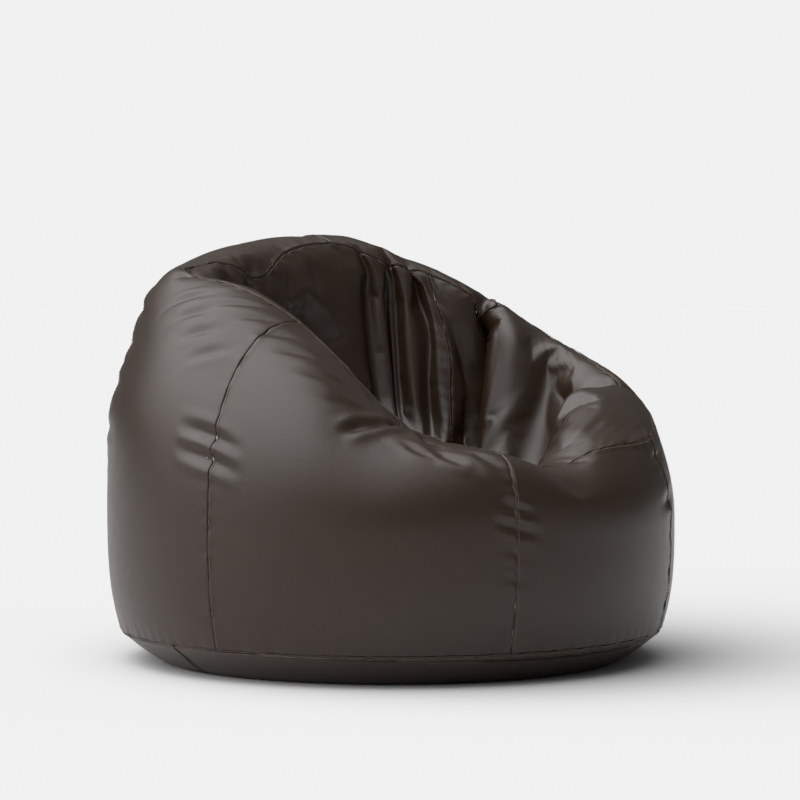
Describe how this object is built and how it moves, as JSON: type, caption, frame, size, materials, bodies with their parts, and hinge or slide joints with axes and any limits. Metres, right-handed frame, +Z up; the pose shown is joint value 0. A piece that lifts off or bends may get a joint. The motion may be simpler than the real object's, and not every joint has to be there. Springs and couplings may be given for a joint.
{
  "type": "bean bag chair",
  "caption": "Round leather bean bag chair with a high back, a low front lip and a zipped base, over a zipped inner liner full of beads.",
  "frame": {"origin": "middle of the round footprint, on the floor", "axes": "+Z up, the chair faces -Y, +X to the left of someone sitting in it"},
  "size_m": [0.9206, 0.9206, 0.6994],
  "materials": {
    "chocolate_leather": "semi-gloss pebbled chocolate leather",
    "tan_thread": "twisted polyester thread, slightly lighter than the leather",
    "liner_cloth": "plain woven polyester, off-white",
    "polystyrene_beads": "small white foamed beads, packed",
    "brown_tape": "woven zip tape, dark brown",
    "brown_coil": "nylon zip coil, dark brown",
    "liner_tape": "woven zip tape, off-white",
    "liner_coil": "nylon zip coil, off-white",
    "zip_metal": "dark bronze lacquered zinc",
    "stop_metal": "dull brass crimp"
  },
  "bodies": {
    "bag": {"side_panel_1": "chocolate_leather", "side_panel_2": "chocolate_leather", "side_panel_3": "chocolate_leather", "side_panel_4": "chocolate_leather", "side_panel_5": "chocolate_leather", "side_panel_6": "chocolate_leather", "crown_panel_left": "chocolate_leather", "crown_panel_right": "chocolate_leather", "base_panel_front": "chocolate_leather", "base_panel_rear": "chocolate_leather", "side_stitching_1": "tan_thread", "side_stitching_2": "tan_thread", "side_stitching_3": "tan_thread", "side_stitching_4": "tan_thread", "side_stitching_5": "tan_thread", "side_stitching_6": "tan_thread", "crown_ring_stitching": "tan_thread", "crown_middle_stitching": "tan_thread", "base_stitching": "tan_thread", "liner_panel_1": "liner_cloth", "liner_panel_2": "liner_cloth", "liner_panel_3": "liner_cloth", "liner_panel_4": "liner_cloth", "liner_base_front": "liner_cloth", "liner_base_rear": "liner_cloth", "bead_filling": "polystyrene_beads", "cover_zip_tape_front": "brown_tape", "cover_zip_tape_rear": "brown_tape", "cover_zip_coil_front": "brown_coil", "cover_zip_coil_rear": "brown_coil", "cover_zip_top_stops": "stop_metal", "cover_zip_bottom_stop": "stop_metal", "liner_zip_tape_front": "liner_tape", "liner_zip_tape_rear": "liner_tape", "liner_zip_coil_front": "liner_coil", "liner_zip_coil_rear": "liner_coil", "liner_zip_top_stops": "stop_metal", "liner_zip_bottom_stop": "stop_metal"},
    "cover_slider": {"cover_zip_slider": "zip_metal"},
    "pull_tab": {"cover_zip_pull_tab": "zip_metal"},
    "liner_slider": {"liner_zip_slider": "zip_metal"}
  },
  "joints": [
    {"name": "cover_zip_slide", "type": "slide", "parent": "bag", "child": "cover_slider", "axis": [1, 0, 0], "range_m": [0, 0.568]},
    {"name": "pull_tab_hinge", "type": "hinge", "parent": "cover_slider", "child": "pull_tab", "pos_m": [-0.286, 0, 0.00965], "axis": [0, 1, 0], "range_deg": [0, 170]},
    {"name": "liner_zip_slide", "type": "slide", "parent": "bag", "child": "liner_slider", "axis": [1, 0, 0], "range_m": [0, 0.475]}
  ]
}
